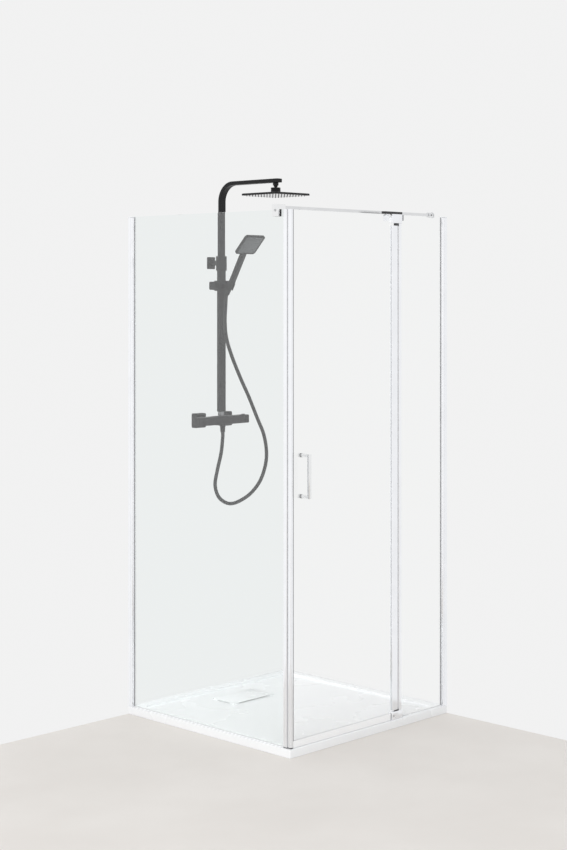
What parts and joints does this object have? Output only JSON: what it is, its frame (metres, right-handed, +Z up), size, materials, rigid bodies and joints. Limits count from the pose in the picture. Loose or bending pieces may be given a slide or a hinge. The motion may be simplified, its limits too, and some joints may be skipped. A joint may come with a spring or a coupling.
{
  "type": "corner shower enclosure",
  "caption": "Square corner shower enclosure with tray, fixed glass side, outward pivot door, stabiliser bar and a wall shower column with rain head and hand shower",
  "frame": {"origin": "centre of the tray's underside, on the floor", "axes": "+Z up; the pivot door faces -Y, the fixed side glass faces -X, and the room's walls stand at the tray's +X and +Y edges; the pivot axis is parallel to Z"},
  "size_m": [0.9006, 0.9445, 2.1358],
  "materials": {
    "tray_white": "smooth white acrylic with a soft sheen",
    "waste_steel": "stamped stainless steel",
    "profile_chrome": "bright polished chrome",
    "fitting_chrome": "cast and polished chrome",
    "clear_glass": "clear toughened glass with a faint green cast",
    "seal_clear": "translucent soft vinyl",
    "seal_dark": "black soft rubber",
    "magnet_grey": "grey soft vinyl",
    "black_plastic": "moulded black nylon",
    "pin_steel": "turned stainless steel",
    "column_black": "matt black powder coat",
    "column_grey": "grey satin coat",
    "seat_white": "low friction plastic ring",
    "nozzle_rubber": "dark silicone with nozzles",
    "spray_grey": "dark grey moulded spray plate",
    "hose_black": "smooth black vinyl sleeve"
  },
  "bodies": {
    "enclosure": {"shower_tray": "tray_white", "waste_flange": "waste_steel", "drain_strainer": "waste_steel", "side_wall_profile": "profile_chrome", "side_glass": "clear_glass", "glazing_gaskets": "seal_dark", "pane_bottom_seals": "seal_clear", "side_edge_profile": "profile_chrome", "side_magnet_strip": "magnet_grey", "side_profile_foot": "black_plastic", "door_wall_profile": "profile_chrome", "narrow_glass": "clear_glass", "hinge_post": "profile_chrome", "hinge_post_seal": "magnet_grey", "bottom_pivot_block": "fitting_chrome", "top_pivot_block": "fitting_chrome", "pivot_pins": "pin_steel", "top_stop_strip": "black_plastic", "bar_saddle": "fitting_chrome", "support_bar": "profile_chrome", "corner_glass_clamp": "fitting_chrome", "clamp_gasket": "seal_dark", "bar_wall_socket": "fitting_chrome", "fixing_screws": "pin_steel", "mixer_body": "column_black", "inlet_unions": "pin_steel", "inlet_nuts": "column_black", "wall_rosettes": "column_black", "riser_nut": "column_grey", "lower_riser": "column_black", "wall_bracket": "column_black", "height_collar": "column_black", "hose_nut_outlet": "column_black", "shower_hose": "hose_black"},
    "door": {"door_glass": "clear_glass", "door_hinge_rail": "profile_chrome", "pivot_bushes": "black_plastic", "door_edge_profile": "profile_chrome", "door_magnet_strip": "magnet_grey", "door_profile_foot": "black_plastic", "door_bottom_seal": "seal_clear", "door_handle": "fitting_chrome", "handle_washers": "seal_dark", "handle_bolts": "fitting_chrome"},
    "drain_lid": {"drain_cover": "tray_white"},
    "arm": {"shower_arm": "column_black", "head_neck_ball": "column_black"},
    "ball_seat": {"ball_seat_ring": "seat_white"},
    "head": {"head_nut": "column_black", "rain_head": "column_black", "rain_nozzles": "nozzle_rubber"},
    "slider": {"slider_body": "column_black"},
    "slider_clamp": {"slider_knob": "column_black"},
    "holder": {"handset_holder": "column_black"},
    "handset": {"handset_body": "column_black", "handset_spray_face": "spray_grey", "hose_nut_handset": "column_black"},
    "flow_control": {"flow_knob": "column_black"},
    "temperature_control": {"temperature_knob": "column_black"},
    "button": {"safety_button": "black_plastic"}
  },
  "joints": [
    {"name": "door_swing", "type": "hinge", "parent": "enclosure", "child": "door", "pos_m": [0.153, -0.435, 0], "axis": [0, 0, 1], "range_deg": [0, 90]},
    {"name": "drain_cover_lift", "type": "slide", "parent": "enclosure", "child": "drain_lid", "axis": [0, 0, 1], "range_m": [0, 0.05]},
    {"name": "arm_height", "type": "slide", "parent": "enclosure", "child": "arm", "axis": [0, 0, 1], "range_m": [-0.14, 0.2]},
    {"name": "head_tilt_x", "type": "hinge", "parent": "arm", "child": "ball_seat", "pos_m": [0, 0.068, 2.09295], "axis": [1, 0, 0], "range_deg": [-10, 10]},
    {"name": "head_tilt_y", "type": "hinge", "parent": "ball_seat", "child": "head", "pos_m": [0, 0.068, 2.09295], "axis": [0, 1, 0], "range_deg": [-10, 10]},
    {"name": "slider_slide", "type": "slide", "parent": "enclosure", "child": "slider", "axis": [0, 0, 1], "range_m": [-0.35, 0.035], "deforming": ["shower_hose"]},
    {"name": "slider_knob_turn", "type": "hinge", "parent": "slider", "child": "slider_clamp", "pos_m": [-0.036, 0.382, 1.706], "axis": [1, 0, 0], "range_deg": [-45, 45]},
    {"name": "holder_tilt", "type": "hinge", "parent": "slider", "child": "holder", "pos_m": [0, 0.35835, 1.706], "axis": [1, 0, 0], "range_deg": [-20, 5], "deforming": ["shower_hose"]},
    {"name": "handset_lift", "type": "slide", "parent": "holder", "child": "handset", "axis": [0, -0.5, 0.866], "range_m": [0, 0.12], "deforming": ["shower_hose"]},
    {"name": "flow_knob_turn", "type": "hinge", "parent": "enclosure", "child": "flow_control", "pos_m": [-0.1, 0.382, 1.148], "axis": [1, 0, 0], "range_deg": [-45, 45]},
    {"name": "temperature_knob_turn", "type": "hinge", "parent": "enclosure", "child": "temperature_control", "pos_m": [0.1, 0.382, 1.148], "axis": [1, 0, 0], "range_deg": [-45, 45]},
    {"name": "safety_button_press", "type": "slide", "parent": "temperature_control", "child": "button", "axis": [0, 0, -1], "range_m": [0, 0.002], "stiffness_N_per_m": 800}
  ]
}
